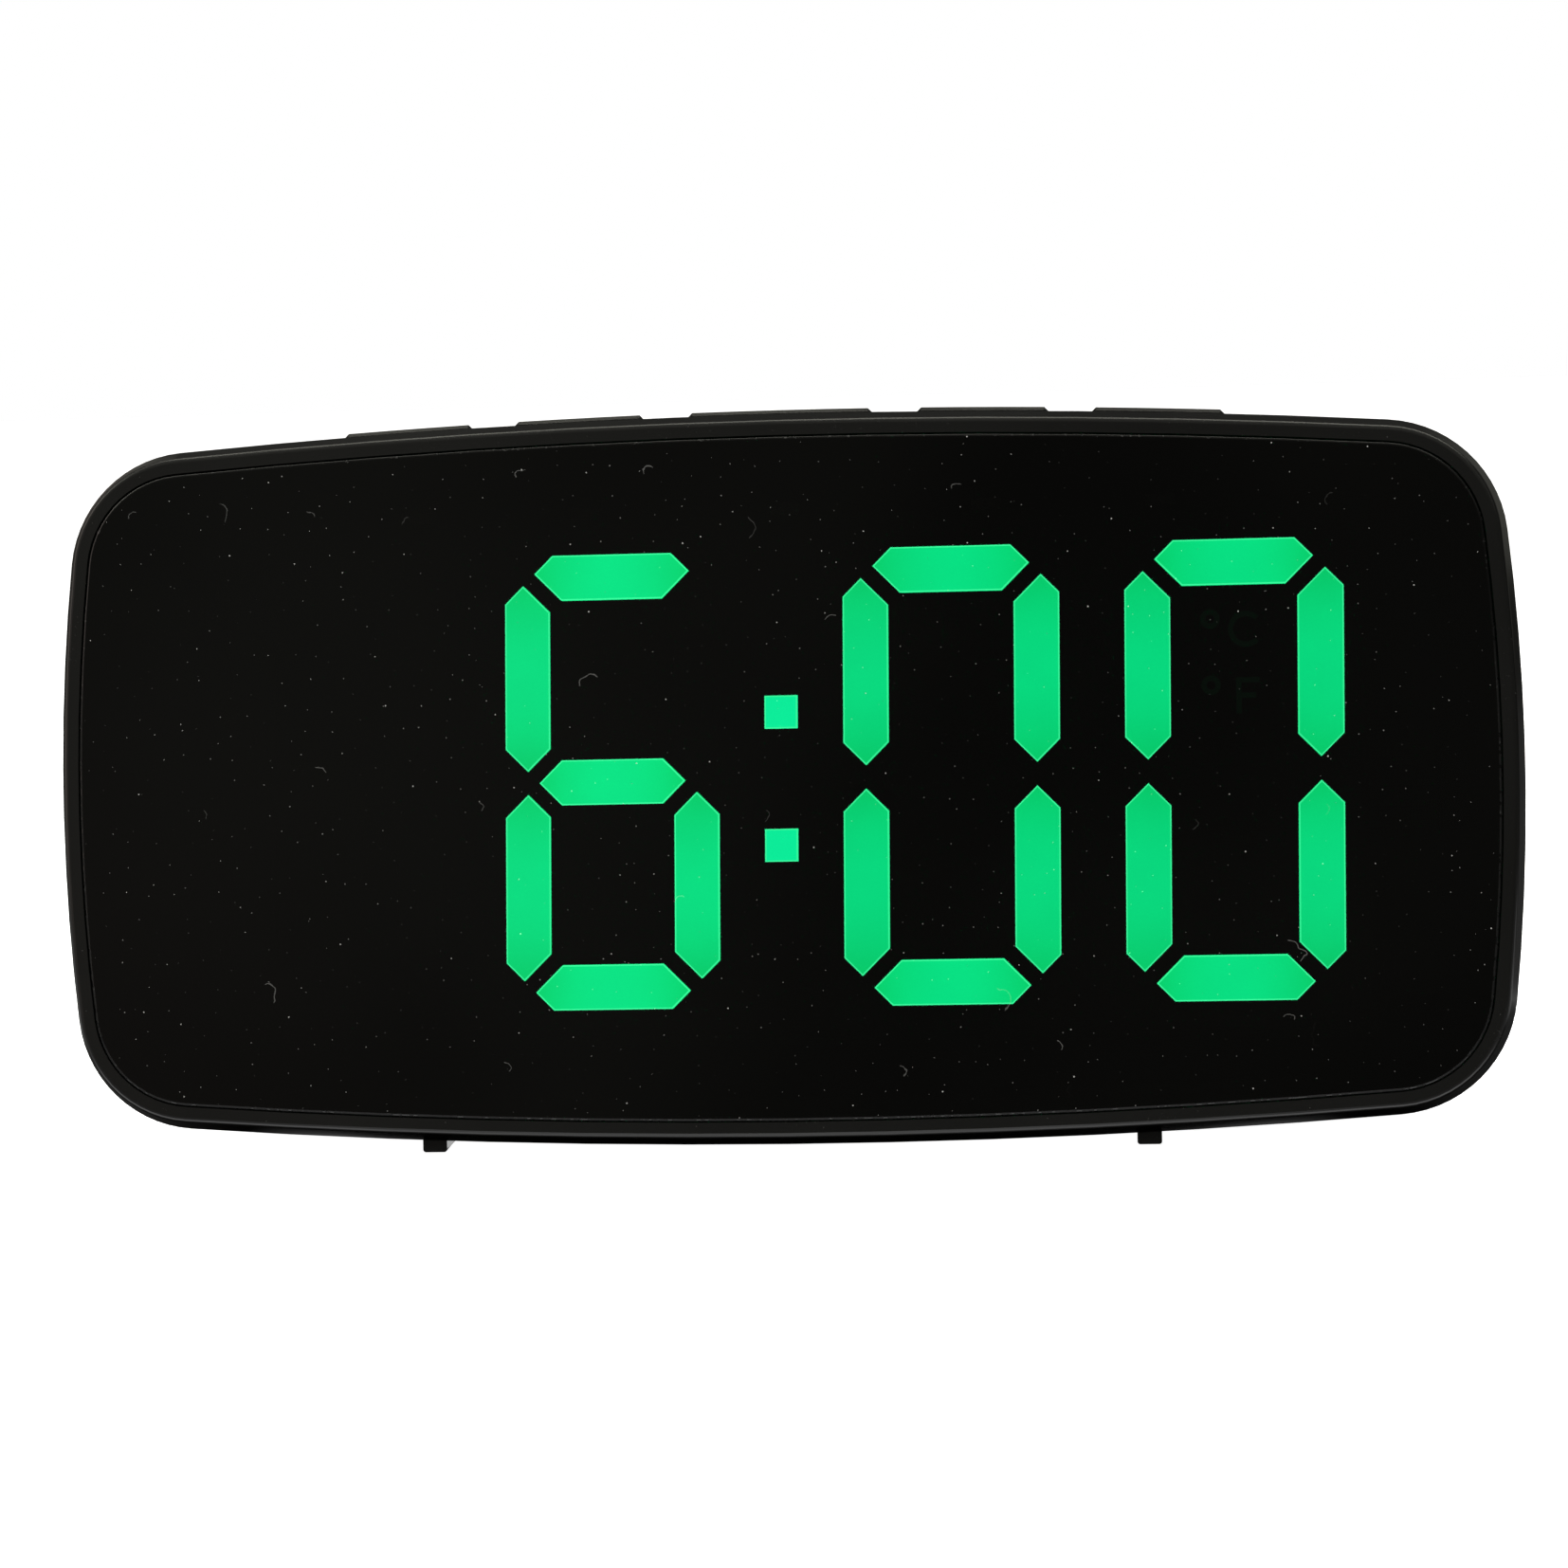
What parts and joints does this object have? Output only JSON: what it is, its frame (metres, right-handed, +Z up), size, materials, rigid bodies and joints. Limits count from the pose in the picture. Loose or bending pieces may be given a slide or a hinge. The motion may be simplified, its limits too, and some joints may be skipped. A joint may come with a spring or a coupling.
{
  "type": "alarm clock",
  "caption": "Free-standing digital alarm clock: barrel-shaped black case leaning back on ribs, mirror face with large lit digits, sprung keys on top, battery door behind.",
  "frame": {"origin": "on the surface it stands on, under the middle of its bounding box", "axes": "+Z up, -Y towards the viewer of the face, +X to the viewer's right; the face leans back by 6.5 degrees"},
  "size_m": [0.15, 0.0452, 0.0751],
  "materials": {
    "case_black": "matte",
    "mirror_black": "mirror gloss",
    "segment_green": "lit, satin",
    "segment_dark": "unlit, satin",
    "reflector_black": "matte",
    "board_green": "satin",
    "led_white": "gloss",
    "chip_black": "satin",
    "connector_white": "satin",
    "bright_metal": "satin",
    "screw_steel": "satin",
    "cell_jacket": "satin",
    "lead_red": "satin",
    "lead_black": "satin"
  },
  "bodies": {
    "case": {"front_bezel": "case_black", "rear_housing": "case_black", "mirror_lens": "mirror_black", "digit_2_segments": "segment_green", "digit_3_segments": "segment_green", "digit_4_segments": "segment_green", "colon_dots": "segment_green", "digit_1_segments": "segment_dark", "unit_marks": "segment_dark", "display_reflector": "reflector_black", "display_board": "board_green", "power_board": "board_green", "segment_leds": "led_white", "controller_chip": "chip_black", "alarm_sounder": "chip_black", "tact_switches": "chip_black", "temperature_sensor": "chip_black", "board_connector": "connector_white", "clock_crystal": "bright_metal", "smoothing_capacitor": "bright_metal", "battery_contacts": "bright_metal", "battery_springs": "bright_metal", "usb_socket": "bright_metal", "case_screws": "screw_steel", "board_screws": "screw_steel", "power_board_screws": "screw_steel", "aaa_cell_1": "cell_jacket", "aaa_cell_2": "cell_jacket", "aaa_cell_3": "cell_jacket", "battery_lead_red": "lead_red", "supply_lead_red": "lead_red", "battery_lead_black": "lead_black", "supply_lead_black": "lead_black"},
    "key_set": {"key_set": "case_black", "key_set_plunger": "connector_white"},
    "key_down": {"key_down": "case_black", "key_down_plunger": "connector_white"},
    "key_snooze": {"key_snooze": "case_black", "key_snooze_plunger": "connector_white"},
    "key_up": {"key_up": "case_black", "key_up_plunger": "connector_white"},
    "key_alarm": {"key_alarm": "case_black", "key_alarm_plunger": "connector_white"},
    "battery_door": {"battery_door": "case_black"}
  },
  "joints": [
    {"name": "key_set_press", "type": "slide", "parent": "case", "child": "key_set", "axis": [0, -0.1132, -0.9936], "range_m": [0, 0.0005], "stiffness_N_per_m": 3000, "springref_m": -0.0001},
    {"name": "key_down_press", "type": "slide", "parent": "case", "child": "key_down", "axis": [0, -0.1132, -0.9936], "range_m": [0, 0.0005], "stiffness_N_per_m": 3000, "springref_m": -0.0001},
    {"name": "key_snooze_press", "type": "slide", "parent": "case", "child": "key_snooze", "axis": [0, -0.1132, -0.9936], "range_m": [0, 0.0005], "stiffness_N_per_m": 3000, "springref_m": -0.0001},
    {"name": "key_up_press", "type": "slide", "parent": "case", "child": "key_up", "axis": [0, -0.1132, -0.9936], "range_m": [0, 0.0005], "stiffness_N_per_m": 3000, "springref_m": -0.0001},
    {"name": "key_alarm_press", "type": "slide", "parent": "case", "child": "key_alarm", "axis": [0, -0.1132, -0.9936], "range_m": [0, 0.0005], "stiffness_N_per_m": 3000, "springref_m": -0.0001},
    {"name": "battery_door_release", "type": "slide", "parent": "case", "child": "battery_door", "axis": [0, 0.9936, -0.1132], "range_m": [0, 0.025]}
  ]
}
